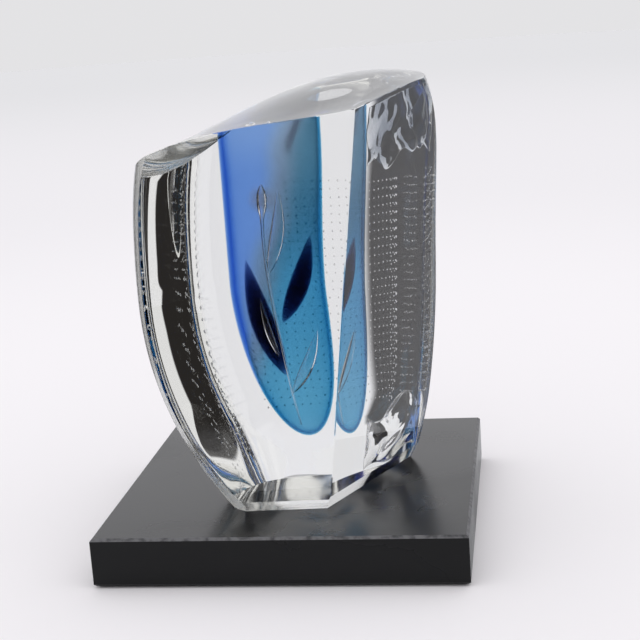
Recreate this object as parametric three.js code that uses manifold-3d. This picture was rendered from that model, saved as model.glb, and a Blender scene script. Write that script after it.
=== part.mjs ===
// A cut crystal block with a two-colour core, standing on a black lacquered plinth.
// Millimetres, +Z up. The origin is the middle of the plinth's footprint, on the table.
import * as THREE from 'three';
import { mergeVertices } from 'three/addons/utils/BufferGeometryUtils.js';
import Module from 'manifold-3d';

const wasm = await Module();
wasm.setup();

// Plinth
const PLINTH_SIDE = 200;
const PLINTH_THICKNESS = 27;
const PLINTH_EDGE = 1.4;            // chamfer on every long edge
const PAD_DIAMETER = 16;
const PAD_THICKNESS = 1;
const PAD_INSET = 20;               // from the plinth's sides to a pad's middle

// Crystal block, in its own frame: the front facet faces -Y, the foot lies at height 0
const BLOCK_TURN = 3.8;             // degrees that the block is turned on the plinth
const BELLY_HEIGHT = 122;           // level at which the block is widest
const BELLY_HALF_WIDTH = 76.6;
const BELLY_HALF_DEPTH = 67.8;
const BELLY_X = 3.2;
const BELLY_Y = -12.5;
const FOOT_HALF_WIDTH = 51;
const FOOT_HALF_DEPTH = 52;
const FOOT_SHIFT_X = 14;            // the foot's middle, measured from the belly's
const FOOT_SHIFT_Y = -1.6;
const SHOULDER_INSET = 7;           // how much narrower each side is at the top cut
const SHOULDER_SHIFT_X = 7.4;       // the section's middle at the top cut, measured from the belly's
const SHOULDER_SHIFT_Y = 1.9;
const SHIFT_POWER = 2;
const SECTION_SQUARENESS = 0.0466;  // 0 is an ellipse, more is squarer
const SECTION_SKEW = 0.277;         // sideways slide of the section per millimetre of depth
const TAPER_POWER = 2.27;
const SHOULDER_POWER = 5;
const HEEL_SLOPE = 0.4;             // how steeply the back is drawn in toward the foot
const HEEL_HEIGHT = 12;             // it keeps that slope up to here
const HEEL_EASE = 34;               // and loses it over this much more
const HEEL_POWER = 1.5;

// Cuts
const FRONT_FACET_Y = -63;
const CREASE_FOOT_X = 19.8;         // where the front and right facets meet, at the foot
const CREASE_LEAN = 7;              // degrees
const RIGHT_FACET_TURN = 61.5;      // degrees between the two facets' outward directions

// The domed top cut: its height over the block's origin, and what it gains from there over
// a reach to the right (x) or to the back (y), by tilt, by doming and by easing off again
const TOP_CUT_HEIGHT = 217.7;
const TOP_REACH_X = 70;
const TOP_REACH_Y = 60;
const TOP_TILT_X = 16.4;
const TOP_TILT_Y = 5.1;
const TOP_DOME_X = -17;
const TOP_DOME_Y = -6;
const TOP_EASE_X = 6.1;
const TOP_EASE_Y = -3.3;
const TOP_TWIST = 15;
const TOP_TWIST_X = -13.7;
const TOP_TWIST_Y = 5.3;
const FOOT_BEVEL_HEIGHT = 6;
const FOOT_BEVEL_INSET = 3;

// Clear inner gather and the coloured core that it wraps
const JOINT_GAP = 0.3;
const GATHER_X = 5;
const GATHER_Y = 5;
const GATHER_HALF_WIDTH = 45;
const GATHER_HALF_DEPTH = 25;
const GATHER_BOTTOM = 18;
const GATHER_END_LENGTH = 60;
const GATHER_END_SHIFT = 4;
const CORE_X = -4.4;
const CORE_Y = -1;
const CORE_HALF_WIDTH = 26.5;
const CORE_HALF_DEPTH = 10;
const CORE_BOTTOM = 30;
const CORE_END_LENGTH = 88;         // height over which the core rounds off to its lower end
const CORE_END_SHIFT = 12;          // the lower end's slide toward the right
const OVERLAY_THICKNESS = 2.2;
const COLOUR_SPLIT_X = -5;          // the cobalt overlay ends and the teal one begins

// Dark leaves, set flush into the front of the coloured overlay
const LEAF_THICKNESS = 1.3;
const LONG_LEAF_LENGTH = 69;
const LONG_LEAF_WIDTH = 15;
const LONG_LEAF_X = -2.5;           // where its lower point lies
const LONG_LEAF_HEIGHT = 67;
const LONG_LEAF_LEAN = 15;          // degrees toward the left
const SHORT_LEAF_LENGTH = 50;
const SHORT_LEAF_WIDTH = 12;
const SHORT_LEAF_X = 0.5;
const SHORT_LEAF_HEIGHT = 98;
const SHORT_LEAF_LEAN = -18;
const LEAF_BELLY = 1.3;             // how far a side bows low down, in half widths
const LEAF_BELLY_START = 0.28;      // share of the length at which it bows most
const LEAF_TIP_START = 0.72;        // share of the length at which it draws in to the tip

// Column ends: how round the lower end is, seen from the front and in depth
const END_POWER = 2.4;
const END_WIDTH_POWER = 0.5;
const END_DEPTH_POWER = 0.25;
const END_FLAT = 0.1;               // share of the width that stays flat at the very end

// Facet counts
const BLOCK_SIDES = 72;
const HEEL_LEVELS = 8;
const BLOCK_LEVELS = 20;
const COLUMN_SIDES = 40;
const COLUMN_LEVELS = 10;
const TOP_CUT_STEPS = 30;
const PAD_SIDES = 28;
const LEAF_STEPS = 10;

const WELD = 1e-4;                  // corners closer than this are one corner
const radians = THREE.MathUtils.degToRad;
const HEEL_TOP = HEEL_HEIGHT + HEEL_EASE;
const LOFT_TOP = TOP_CUT_HEIGHT + 2 * (TOP_TILT_X + TOP_TILT_Y);
const CUTTER = 4 * LOFT_TOP;

function solidOf(geometry) {
  const bare = geometry.clone();
  bare.deleteAttribute('normal');
  bare.deleteAttribute('uv');
  const merged = mergeVertices(bare, WELD);
  return new wasm.Manifold(new wasm.Mesh({
    numProp: 3,
    vertProperties: new Float32Array(merged.attributes.position.array),
    triVerts: new Uint32Array(merged.index.array),
  }));
}

function geometryOf(solid) {
  const mesh = solid.getMesh();
  const geometry = new THREE.BufferGeometry();
  geometry.setAttribute('position', new THREE.BufferAttribute(mesh.vertProperties, 3));
  geometry.setIndex(new THREE.BufferAttribute(mesh.triVerts, 1));
  geometry.computeVertexNormals();
  return geometry;
}

const steps = (count, from, to) => (
  Array.from({ length: count + 1 }, (_, i) => from + (to - from) * (i / count))
);

// A closed solid through level rings, all of one length, each a list of [x, y, z] points
function loft(rings) {
  const sides = rings[0].length;
  const last = (rings.length - 1) * sides;
  const middles = [rings[0], rings[rings.length - 1]].map((ring) => (
    [0, 1, 2].map((axis) => ring.reduce((sum, point) => sum + point[axis], 0) / sides)
  ));
  const points = [...rings.flat(), ...middles];
  const bottomMiddle = rings.length * sides;
  const faces = [];
  for (let i = 0; i < sides; i += 1) {
    const next = (i + 1) % sides;
    faces.push(bottomMiddle, next, i);
    faces.push(bottomMiddle + 1, last + i, last + next);
    for (let level = 0; level < last; level += sides) {
      faces.push(level + i, level + next, level + sides + next);
      faces.push(level + i, level + sides + next, level + sides + i);
    }
  }
  const geometry = new THREE.BufferGeometry();
  geometry.setAttribute('position', new THREE.Float32BufferAttribute(points.flat(), 3));
  geometry.setIndex(faces);
  return solidOf(geometry);
}

// How far the middle of the back is drawn in over the foot
function heelInset(height) {
  const share = Math.min(1, Math.max(0, (height - HEEL_HEIGHT) / HEEL_EASE));
  const eased = 0.5 - share + share ** 3 - share ** 4 / 2;
  return HEEL_SLOPE * (Math.max(0, HEEL_HEIGHT - height) + HEEL_EASE * eased);
}

// The block as it is shaped hot: a skewed rounded section, narrower at the foot and the shoulders
function hotRing(height) {
  const below = Math.max(0, (BELLY_HEIGHT - height) / BELLY_HEIGHT);
  const above = Math.max(0, (height - BELLY_HEIGHT) / (TOP_CUT_HEIGHT - BELLY_HEIGHT));
  const inset = SHOULDER_INSET * above ** SHOULDER_POWER;
  const taper = below ** TAPER_POWER;
  const halfWidth = BELLY_HALF_WIDTH + (FOOT_HALF_WIDTH - BELLY_HALF_WIDTH) * taper - inset;
  const halfDepth = BELLY_HALF_DEPTH + (FOOT_HALF_DEPTH - BELLY_HALF_DEPTH) * taper - inset;
  const footShare = below ** SHIFT_POWER;
  const topShare = above ** SHIFT_POWER;
  const middleX = BELLY_X + FOOT_SHIFT_X * footShare + SHOULDER_SHIFT_X * topShare;
  const middleY = BELLY_Y + FOOT_SHIFT_Y * footShare + SHOULDER_SHIFT_Y * topShare;
  return Array.from({ length: BLOCK_SIDES }, (_, i) => {
    const angle = (2 * Math.PI * i) / BLOCK_SIDES;
    const squarer = 1 + SECTION_SQUARENESS;
    const side = halfWidth * (squarer * Math.cos(angle) - SECTION_SQUARENESS * Math.cos(3 * angle));
    const round = halfDepth * (squarer * Math.sin(angle) + SECTION_SQUARENESS * Math.sin(3 * angle));
    const depth = round - heelInset(height) * Math.max(0, Math.sin(angle)) ** HEEL_POWER;
    return [middleX + side + SECTION_SKEW * depth, middleY + depth, height];
  });
}

// An upright oval column with a rounded lower end, tall enough to pass the top cut
function ovalColumn({ x, y, halfWidth, halfDepth, bottom, endLength, endShift }) {
  const heights = steps(COLUMN_LEVELS, 0, Math.PI / 2)
    .map((angle) => bottom + endLength * (1 - Math.cos(angle)));
  return loft([...heights, LOFT_TOP].map((height) => {
    const left = Math.max(0, 1 - (height - bottom) / endLength);
    const width = halfWidth * Math.max(END_FLAT, (1 - left ** END_POWER) ** END_WIDTH_POWER);
    const depth = halfDepth * Math.max(END_FLAT, (1 - left ** END_POWER) ** END_DEPTH_POWER);
    const middleX = x + endShift * left ** (END_POWER - 1);
    return Array.from({ length: COLUMN_SIDES }, (_, i) => {
      const angle = (2 * Math.PI * i) / COLUMN_SIDES;
      return [middleX + width * Math.cos(angle), y + depth * Math.sin(angle), height];
    });
  }));
}

// Everything on the outer side of a plane through point, facing along normal
function beyond(point, normal) {
  const box = new THREE.BoxGeometry(CUTTER, CUTTER, CUTTER);
  const turn = new THREE.Quaternion().setFromUnitVectors(new THREE.Vector3(0, 0, 1), normal);
  box.applyQuaternion(turn);
  const middle = point.clone().addScaledVector(normal, CUTTER / 2);
  box.translate(middle.x, middle.y, middle.z);
  return solidOf(box);
}

const frontNormal = new THREE.Vector3(0, -1, 0);
const creaseFoot = new THREE.Vector3(CREASE_FOOT_X, FRONT_FACET_Y, 0);
const creaseDirection = new THREE.Vector3(Math.tan(radians(CREASE_LEAN)), 0, 1).normalize();
const rightAlong = new THREE.Vector3(
  Math.cos(radians(RIGHT_FACET_TURN)),
  Math.sin(radians(RIGHT_FACET_TURN)),
  0,
);
const rightNormal = rightAlong.clone().cross(creaseDirection).normalize();

function topHeight(x, y) {
  const u = x / TOP_REACH_X;
  const v = y / TOP_REACH_Y;
  const alongX = u * (TOP_TILT_X + u * (TOP_DOME_X + u * TOP_EASE_X));
  const alongY = v * (TOP_TILT_Y + v * (TOP_DOME_Y + v * TOP_EASE_Y));
  return TOP_CUT_HEIGHT + alongX + alongY + u * v * (TOP_TWIST + u * TOP_TWIST_X + v * TOP_TWIST_Y);
}

// Everything under the domed top cut, as a solid a little wider than the block
function underTopCut() {
  const halfX = BELLY_HALF_WIDTH * (1 + SECTION_SKEW);
  const halfY = BELLY_HALF_DEPTH * (1 + SECTION_SQUARENESS);
  const columns = steps(TOP_CUT_STEPS, BELLY_X - halfX, BELLY_X + halfX);
  const rows = steps(TOP_CUT_STEPS, BELLY_Y - halfY, BELLY_Y + halfY);
  const floor = -BELLY_HALF_WIDTH;
  const points = [];
  rows.forEach((y) => columns.forEach((x) => points.push(x, y, topHeight(x, y), x, y, floor)));
  const last = TOP_CUT_STEPS;
  const at = (row, column, low) => 2 * (row * columns.length + column) + low;
  const faces = [];
  const quad = (a, b, c, d) => faces.push(a, b, c, a, c, d);
  for (let i = 0; i < last; i += 1) {
    for (let j = 0; j < last; j += 1) {
      quad(at(i, j, 0), at(i, j + 1, 0), at(i + 1, j + 1, 0), at(i + 1, j, 0));
      quad(at(i, j, 1), at(i + 1, j, 1), at(i + 1, j + 1, 1), at(i, j + 1, 1));
    }
    quad(at(0, i, 1), at(0, i + 1, 1), at(0, i + 1, 0), at(0, i, 0));
    quad(at(last, i, 0), at(last, i + 1, 0), at(last, i + 1, 1), at(last, i, 1));
    quad(at(i, 0, 0), at(i + 1, 0, 0), at(i + 1, 0, 1), at(i, 0, 1));
    quad(at(i, last, 1), at(i + 1, last, 1), at(i + 1, last, 0), at(i, last, 0));
  }
  const geometry = new THREE.BufferGeometry();
  geometry.setAttribute('position', new THREE.Float32BufferAttribute(points, 3));
  geometry.setIndex(faces);
  return solidOf(geometry);
}

// The foot's bevel: a slanted cut under each facet
function bevelFoot(solid) {
  const slant = Math.atan(FOOT_BEVEL_INSET / FOOT_BEVEL_HEIGHT);
  let cut = solid;
  for (const facing of [frontNormal, rightNormal]) {
    const outward = new THREE.Vector3(facing.x, facing.y, 0).normalize();
    const start = creaseFoot.clone().addScaledVector(outward, -FOOT_BEVEL_INSET);
    const slanted = outward.clone().multiplyScalar(Math.cos(slant));
    slanted.z = -Math.sin(slant);
    cut = cut.subtract(beyond(start, slanted));
  }
  return cut;
}

function cutBlock() {
  const levels = [...steps(HEEL_LEVELS, 0, HEEL_TOP), ...steps(BLOCK_LEVELS, HEEL_TOP, LOFT_TOP).slice(1)];
  const hot = loft(levels.map(hotRing));
  const faceted = hot.subtract(beyond(creaseFoot, frontNormal)).subtract(beyond(creaseFoot, rightNormal));
  return bevelFoot(faceted.intersect(underTop));
}

// A column like the gather's or the core's, drawn in or let out on every side by an offset
const gatherColumn = (offset) => ovalColumn({
  x: GATHER_X,
  y: GATHER_Y,
  halfWidth: GATHER_HALF_WIDTH + offset,
  halfDepth: GATHER_HALF_DEPTH + offset,
  bottom: GATHER_BOTTOM - offset,
  endLength: GATHER_END_LENGTH,
  endShift: GATHER_END_SHIFT,
});

const coreColumn = (offset) => ovalColumn({
  x: CORE_X,
  y: CORE_Y,
  halfWidth: CORE_HALF_WIDTH + offset,
  halfDepth: CORE_HALF_DEPTH + offset,
  bottom: CORE_BOTTOM - offset,
  endLength: CORE_END_LENGTH,
  endShift: CORE_END_SHIFT,
});

// A pointed leaf outline, run through the front of the core; grow widens it on every side
function leafPrism({ baseX, baseZ, length, width, lean }, grow) {
  const half = width / 2 + grow;
  const bow = half * LEAF_BELLY;
  const low = length * LEAF_BELLY_START;
  const high = length * LEAF_TIP_START;
  const outline = new THREE.Shape();
  outline.moveTo(0, -grow);
  outline.bezierCurveTo(bow, low, half, high, 0, length + grow);
  outline.bezierCurveTo(-half, high, -bow, low, 0, -grow);
  const prism = new THREE.ExtrudeGeometry(outline, {
    depth: 2 * CORE_HALF_DEPTH,
    bevelEnabled: false,
    curveSegments: LEAF_STEPS,
  });
  prism.rotateX(Math.PI / 2);
  prism.rotateY(radians(-lean));
  prism.translate(baseX, CORE_Y, baseZ);
  return solidOf(prism);
}

const leaves = [
  {
    name: 'dark_leaf_long',
    baseX: LONG_LEAF_X,
    baseZ: LONG_LEAF_HEIGHT,
    length: LONG_LEAF_LENGTH,
    width: LONG_LEAF_WIDTH,
    lean: LONG_LEAF_LEAN,
  },
  {
    name: 'dark_leaf_short',
    baseX: SHORT_LEAF_X,
    baseZ: SHORT_LEAF_HEIGHT,
    length: SHORT_LEAF_LENGTH,
    width: SHORT_LEAF_WIDTH,
    lean: SHORT_LEAF_LEAN,
  },
];

const underTop = underTopCut();
const block = cutBlock();
const gatherSeat = gatherColumn(JOINT_GAP);
const coreSeat = coreColumn(JOINT_GAP);
const overlayBack = coreColumn(JOINT_GAP - OVERLAY_THICKNESS);
const leafBack = coreColumn(-LEAF_THICKNESS);
const leafSeatBack = coreColumn(-LEAF_THICKNESS - JOINT_GAP);

const casing = block.subtract(gatherSeat);
const gather = gatherColumn(0).intersect(underTop).subtract(coreSeat);
const overlay = coreColumn(0).intersect(underTop).subtract(overlayBack);
const heart = coreColumn(-OVERLAY_THICKNESS).intersect(underTop);

const splitPoint = new THREE.Vector3(COLOUR_SPLIT_X, 0, 0);
const leftward = new THREE.Vector3(-1, 0, 0);
const rightward = new THREE.Vector3(1, 0, 0);
const gapPoint = splitPoint.clone().addScaledVector(rightward, JOINT_GAP);
const leafSeats = leaves.map((leaf) => leafPrism(leaf, JOINT_GAP).subtract(leafSeatBack));
const seated = leafSeats.reduce((solid, seat) => solid.subtract(seat), overlay);
const cobaltOverlay = seated.subtract(beyond(splitPoint, rightward));
const tealOverlay = seated.subtract(beyond(gapPoint, leftward));
const leafSkin = coreColumn(0).subtract(leafBack);

const clearCrystal = { color: 0xf2f5f7, roughness: 0.02, metalness: 0, transparent: true, opacity: 0.35 };
const looks = {
  crystal: clearCrystal,
  cobalt: { color: 0x2a55c0, roughness: 0.05, metalness: 0 },
  teal: { color: 0x3c8fb4, roughness: 0.05, metalness: 0 },
  darkGlass: { color: 0x07091c, roughness: 0.08, metalness: 0 },
  lacquer: { color: 0x1d1d1e, roughness: 0.38, metalness: 0 },
  felt: { color: 0x151515, roughness: 0.95, metalness: 0 },
};

function piece(name, geometry, look) {
  const mesh = new THREE.Mesh(geometry, new THREE.MeshStandardMaterial(looks[look]));
  mesh.name = name;
  return mesh;
}

function plinthGeometry() {
  const half = PLINTH_SIDE / 2 - PLINTH_EDGE;
  const outline = new THREE.Shape();
  outline.moveTo(-half, -half);
  outline.lineTo(half, -half);
  outline.lineTo(half, half);
  outline.lineTo(-half, half);
  outline.closePath();
  return new THREE.ExtrudeGeometry(outline, {
    depth: PLINTH_THICKNESS - 2 * PLINTH_EDGE,
    bevelEnabled: true,
    bevelThickness: PLINTH_EDGE,
    bevelSize: PLINTH_EDGE,
    bevelSegments: 1,
  });
}

const sculpture = new THREE.Group();

const plinth = piece('plinth', plinthGeometry(), 'lacquer');
plinth.position.z = PAD_THICKNESS + PLINTH_EDGE;
sculpture.add(plinth);

const padReach = PLINTH_SIDE / 2 - PAD_INSET;
const padPlaces = {
  felt_pad_front_left: [-1, -1],
  felt_pad_front_right: [1, -1],
  felt_pad_back_left: [-1, 1],
  felt_pad_back_right: [1, 1],
};
for (const [name, [sideX, sideY]] of Object.entries(padPlaces)) {
  const padRadius = PAD_DIAMETER / 2;
  const disc = new THREE.CylinderGeometry(padRadius, padRadius, PAD_THICKNESS, PAD_SIDES);
  const pad = piece(name, disc, 'felt');
  pad.rotation.x = Math.PI / 2;
  pad.position.set(sideX * padReach, sideY * padReach, PAD_THICKNESS / 2);
  sculpture.add(pad);
}

const glass = new THREE.Group();
glass.rotation.z = radians(BLOCK_TURN);
glass.position.z = PAD_THICKNESS + PLINTH_THICKNESS;
sculpture.add(glass);

glass.add(piece('crystal_casing', geometryOf(casing), 'crystal'));
glass.add(piece('clear_gather', geometryOf(gather), 'crystal'));
glass.add(piece('cobalt_overlay', geometryOf(cobaltOverlay), 'cobalt'));
glass.add(piece('teal_overlay', geometryOf(tealOverlay), 'teal'));
glass.add(piece('core_heart', geometryOf(heart), 'crystal'));
for (const leaf of leaves) {
  glass.add(piece(leaf.name, geometryOf(leafPrism(leaf, 0).intersect(leafSkin)), 'darkGlass'));
}

export default sculpture;
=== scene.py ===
import math

import bmesh
import bpy
import numpy as np
from mathutils import Matrix, Vector


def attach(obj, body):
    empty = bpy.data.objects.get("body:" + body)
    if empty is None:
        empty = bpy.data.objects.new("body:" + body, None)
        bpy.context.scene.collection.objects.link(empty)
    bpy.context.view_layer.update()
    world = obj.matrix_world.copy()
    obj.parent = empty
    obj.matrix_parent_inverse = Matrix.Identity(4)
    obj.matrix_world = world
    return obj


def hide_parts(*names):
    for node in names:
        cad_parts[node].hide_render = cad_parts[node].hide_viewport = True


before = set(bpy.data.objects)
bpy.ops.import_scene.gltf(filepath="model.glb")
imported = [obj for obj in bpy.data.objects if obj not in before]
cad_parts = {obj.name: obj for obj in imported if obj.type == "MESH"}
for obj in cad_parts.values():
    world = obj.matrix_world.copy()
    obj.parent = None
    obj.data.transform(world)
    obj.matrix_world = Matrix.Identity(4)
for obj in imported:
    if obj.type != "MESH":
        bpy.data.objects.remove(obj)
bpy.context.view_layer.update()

# Camera
# It stands in front of the plinth, a little above the block and to its right, and is rolled
# by about four degrees, as the photograph was taken.
scene = bpy.context.scene
camera_data = bpy.data.cameras.new("camera")
camera_data.sensor_width = 36.0
camera_data.lens = 80.64
camera_data.clip_start = 0.01
camera_data.clip_end = 50.0
camera = bpy.data.objects.new("camera", camera_data)
scene.collection.objects.link(camera)
scene.camera = camera
camera_place = Vector((0.1359, -0.7844, 0.3062))
looks_at = Vector((0.01597, 0.0, 0.11919))
camera_roll = -0.0686
aim = (looks_at - camera_place).to_track_quat("-Z", "Y").to_matrix().to_4x4()
camera.matrix_world = Matrix.Translation(camera_place) @ aim @ Matrix.Rotation(camera_roll, 4, "Z")

scene.view_settings.view_transform = "Standard"
scene.cycles.max_bounces = 40
scene.cycles.transmission_bounces = 40
scene.cycles.glossy_bounces = 12
scene.cycles.transparent_max_bounces = 24

# Studio
# A pale sweep under and behind the object, a white reflector at its right, a window in front
# at its left and a light overhead. The room beyond them is dark, which is what draws the black
# bands inside the clear glass.


class Shade:
    """A value, colour or direction inside one material, written as an expression."""

    def __init__(self, tree, socket):
        self.tree, self.socket = tree, socket

    def node(self, kind, settings=None, inputs=None, output=0):
        made = self.tree.nodes.new(kind)
        for name, value in (settings or {}).items():
            setattr(made, name, value)
        for name, value in (inputs or {}).items():
            if isinstance(value, Shade):
                self.tree.links.new(value.socket, made.inputs[name])
            else:
                made.inputs[name].default_value = value
        return Shade(self.tree, made.outputs[output])

    def also(self, output):
        """Another output of the node that this value comes from."""
        return Shade(self.tree, self.socket.node.outputs[output])

    def split(self):
        """The x, y and z of a place or a direction."""
        x = self.node("ShaderNodeSeparateXYZ", {}, {"Vector": self})
        return x, x.also("Y"), x.also("Z")

    def maths(self, operation, *values, clamp=False):
        settings = {"operation": operation, "use_clamp": clamp}
        return self.node("ShaderNodeMath", settings, dict(enumerate(values)))

    def __add__(self, other):
        return self.maths("ADD", self, other)

    def __sub__(self, other):
        return self.maths("SUBTRACT", self, other)

    def __mul__(self, other):
        return self.maths("MULTIPLY", self, other)

    def __rsub__(self, other):
        return self.maths("SUBTRACT", other, self)

    def __neg__(self):
        return self.maths("MULTIPLY", self, -1.0)

    __radd__ = __add__
    __rmul__ = __mul__

    def clamped(self):
        return self.maths("ADD", self, 0.0, clamp=True)

    def rises(self, start, end):
        """0 below start, 1 above end, smooth in between; start may be above end."""
        settings = {"interpolation_type": "SMOOTHSTEP"}
        low, high, at, to = (start, end, 0.0, 1.0) if start < end else (end, start, 1.0, 0.0)
        values = {"Value": self, "From Min": low, "From Max": high, "To Min": at, "To Max": to}
        return self.node("ShaderNodeMapRange", settings, values)

    def between(self, first, second):
        """Mixes two colours, this value being the second one's share."""
        settings = {"data_type": "RGBA"}
        return self.node("ShaderNodeMix", settings, {0: self, 6: first, 7: second}, output=2)


def colour(red, green, blue):
    return (red, green, blue, 1.0)


def new_tree(name):
    """An empty material and the start of its expressions."""
    material = bpy.data.materials.new(name)
    material.use_nodes = True
    material.node_tree.nodes.clear()
    return material, Shade(material.node_tree, None)


def finished(start, surface, volume=None, output="ShaderNodeOutputMaterial"):
    end = start.tree.nodes.new(output)
    start.tree.links.new(surface.socket, end.inputs["Surface"])
    if volume:
        start.tree.links.new(volume.socket, end.inputs["Volume"])


# Bearings are in degrees round the object: 0 is straight behind it, and plus is at its left.
LEFT_END, RIGHT_END = 40.3, -103.2            # where the sweep and the reflector end
WINDOW = (110.0, 129.0)
SWEEP = colour(0.86, 0.86, 0.885)
ROOM = colour(0.023, 0.021, 0.02)
LOW_LIGHT, HIGH_LIGHT = colour(0.22, 0.22, 0.227), colour(1.465, 1.465, 1.51)
SEEN_SKY = colour(0.772, 0.768, 0.782)


def in_glass_or_gloss(start):
    """1 for a view through glass or in a reflection, else 0."""
    light_path = start.node("ShaderNodeLightPath")
    return (light_path.also("Is Glossy Ray") + light_path.also("Is Transmission Ray")).clamped()


def lit_side(start, across, away, right_end, lift=0.0, wider=0.0, window=1.0):
    """1 where the sweep, the reflector and the window are, seen from the object, else 0."""
    turn = start.maths("ARCTAN2", -across, away) * (180 / math.pi)
    sweep = (turn - lift).rises(LEFT_END + 0.9, LEFT_END - 0.9) * (turn - right_end).rises(-0.6, 0.6)
    window = window * turn.rises(WINDOW[0], WINDOW[0] + 3.0)
    window = window * (turn - wider).rises(WINDOW[1], WINDOW[1] - 3.0)
    return sweep + window


studio = bpy.data.worlds.new("studio")
scene.world = studio
studio.use_nodes = True
studio.node_tree.nodes.clear()
start = Shade(studio.node_tree, None)
across, away, up = start.node("ShaderNodeTexCoord", output="Generated").split()
camera_ray = start.node("ShaderNodeLightPath", output="Is Camera Ray")
# up is 0 at the horizon and 1 overhead: higher up the sweep and the window reach further
# round, and the reflector leans away
lift = up.rises(0.22, 0.4) * 34.0 + up.rises(0.02, 0.11) * 10.5
wider = up.rises(0.3, 0.45) * 24.0
right_end = RIGHT_END - 1.2 * up.rises(-0.02, 0.12) + 30.0 * up.rises(0.48, 0.86)
around = lit_side(start, across, away, right_end, lift, wider)
overhead = up.rises(0.83, 0.87)
studio_seen = start.maths("MAXIMUM", around, overhead).between(ROOM, SWEEP)
plain = camera_ray.between(up.clamped().between(LOW_LIGHT, HIGH_LIGHT), SEEN_SKY)
light = in_glass_or_gloss(start).between(plain, studio_seen)
background = start.node("ShaderNodeBackground", {}, {"Color": light, "Strength": 1.0})
finished(start, background, output="ShaderNodeOutputWorld")

FLOOR_REACH, FLOOR_CORNERS = 6.0, 96
floor_mesh = bpy.data.meshes.new("floor")
floor_edge = [(FLOOR_REACH * math.cos(a), FLOOR_REACH * math.sin(a), 0.0)
              for a in np.linspace(0, 2 * math.pi, FLOOR_CORNERS, endpoint=False)]
floor_mesh.from_pydata(floor_edge, [], [list(range(FLOOR_CORNERS))])
floor = bpy.data.objects.new("floor", floor_mesh)
scene.collection.objects.link(floor)
floor_paper, start = new_tree("floor_paper")
across, away, _ = start.node("ShaderNodeNewGeometry", output="Position").split()
distance = start.maths("SQRT", across * across + away * away)
# The paper is painted darker further out from the object, and, in the glass and in reflections, darker
# towards the back: painted shade for the light falling off away from the lamps.
far_paper_painted_falloff = distance.rises(1.1, 4.5).between(colour(0.83, 0.812, 0.818), colour(0.739, 0.736, 0.735))
open_paper_painted_falloff = distance.rises(0.45, 1.4).between(colour(0.89, 0.867, 0.872), far_paper_painted_falloff)
paper_in_glass_painted_falloff = away.rises(-0.3, 0.9).between(colour(0.864, 0.864, 0.874), colour(0.813, 0.813, 0.827))
in_glass = in_glass_or_gloss(start)
paper = in_glass.between(open_paper_painted_falloff, paper_in_glass_painted_falloff)
# the lit paper's outline, on the floor, is that of the sweep, the reflector and the window; outside it, from
# 0.3 m out, the paper is painted the dark room's colour in the glass and in reflections, as painted shade,
# and on the window's side this painted shade also lies from 0.8 to 1.5 m
right_end = RIGHT_END + 3.4 * distance.rises(1.7, 1.1)
window = 1.0 - distance.rises(0.74, 0.8) * distance.rises(1.7, 1.5)
unlit = 1.0 - lit_side(start, across, away, right_end, window=window)
paper = (distance.rises(0.28, 0.34) * unlit * in_glass).between(paper, ROOM)
paper_surface = start.node("ShaderNodeBsdfDiffuse", {}, {"Color": paper})
finished(start, paper_surface)
floor_mesh.materials.append(floor_paper)

# Coloured core
# An upright oval column in the middle of the glass, and the first piece to be blown: a thin
# skin of cobalt glass at its left and of teal glass at its right, over a clear heart. Each
# colour thins out into the other over a wisp of smoke-grey glass.
CORE = dict(x=-4.4, y=-1.0, half_width=26.5, half_depth=10.0, bottom=30.0, end_length=88.0, end_shift=12.0,
            flare=3.0)
END_POWER, SHIFT_POWER = 2.4, 1.4
OVERLAY, THINNEST = 2.2, 0.02
SKIN_GAP = 0.03
TOP_GAP = 0.12

# All the glass is measured in millimetres, in the block's own frame, which is turned a little
# on the plinth. TOP is the domed cut across its upper end.
MM = 0.001
BLOCK_TURN = math.radians(3.8)
PLINTH_TOP = 28.0
TOP = dict(height=217.7, reach_x=70.0, reach_y=60.0, tilt_x=16.4, tilt_y=5.1, dome_x=-17.0, dome_y=-6.0,
           ease_x=6.1, ease_y=-3.3, twist=15.0, twist_x=-13.7, twist_y=5.3)


def turned(points, angle):
    """Points turned round the upright axis."""
    c, s = math.cos(angle), math.sin(angle)
    x, y, z = points[..., 0], points[..., 1], points[..., 2]
    return np.stack([c * x - s * y, s * x + c * y, z], axis=-1)


def placed(points):
    """Points of the block's own frame, in millimetres, as metres in the row's frame."""
    return (turned(np.asarray(points, float), BLOCK_TURN) + np.array([0, 0, PLINTH_TOP])) * MM


def piece_of(name, points, faces, smooth=None):
    """A closed mesh object from points in the block's frame; smooth tells which faces are curved."""
    mesh = bpy.data.meshes.new(name)
    mesh.from_pydata([tuple(p) for p in placed(points)], [], [tuple(int(i) for i in f) for f in faces])
    flags = np.ones(len(faces), bool) if smooth is None else np.asarray(smooth, bool)
    mesh.polygons.foreach_set("use_smooth", flags)
    shape = bmesh.new()
    shape.from_mesh(mesh)
    bmesh.ops.recalc_face_normals(shape, faces=shape.faces)
    for edge in shape.edges:
        edge.smooth = all(face.smooth for face in edge.link_faces)
    shape.to_mesh(mesh)
    shape.free()
    mesh.validate()
    piece = bpy.data.objects.new(name, mesh)
    scene.collection.objects.link(piece)
    return piece


def top_height(x, y):
    """Height of the domed top cut over a place."""
    u, v = x / TOP["reach_x"], y / TOP["reach_y"]
    dome = u * (TOP["tilt_x"] + u * (TOP["dome_x"] + u * TOP["ease_x"]))
    dome += v * (TOP["tilt_y"] + v * (TOP["dome_y"] + v * TOP["ease_y"]))
    return TOP["height"] + dome + u * v * (TOP["twist"] + u * TOP["twist_x"] + v * TOP["twist_y"])


def swell(value, middle, width):
    """1 at a middle value, falling softly to 0 on both sides."""
    return np.exp(-((value - middle) / width) ** 2)


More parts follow.
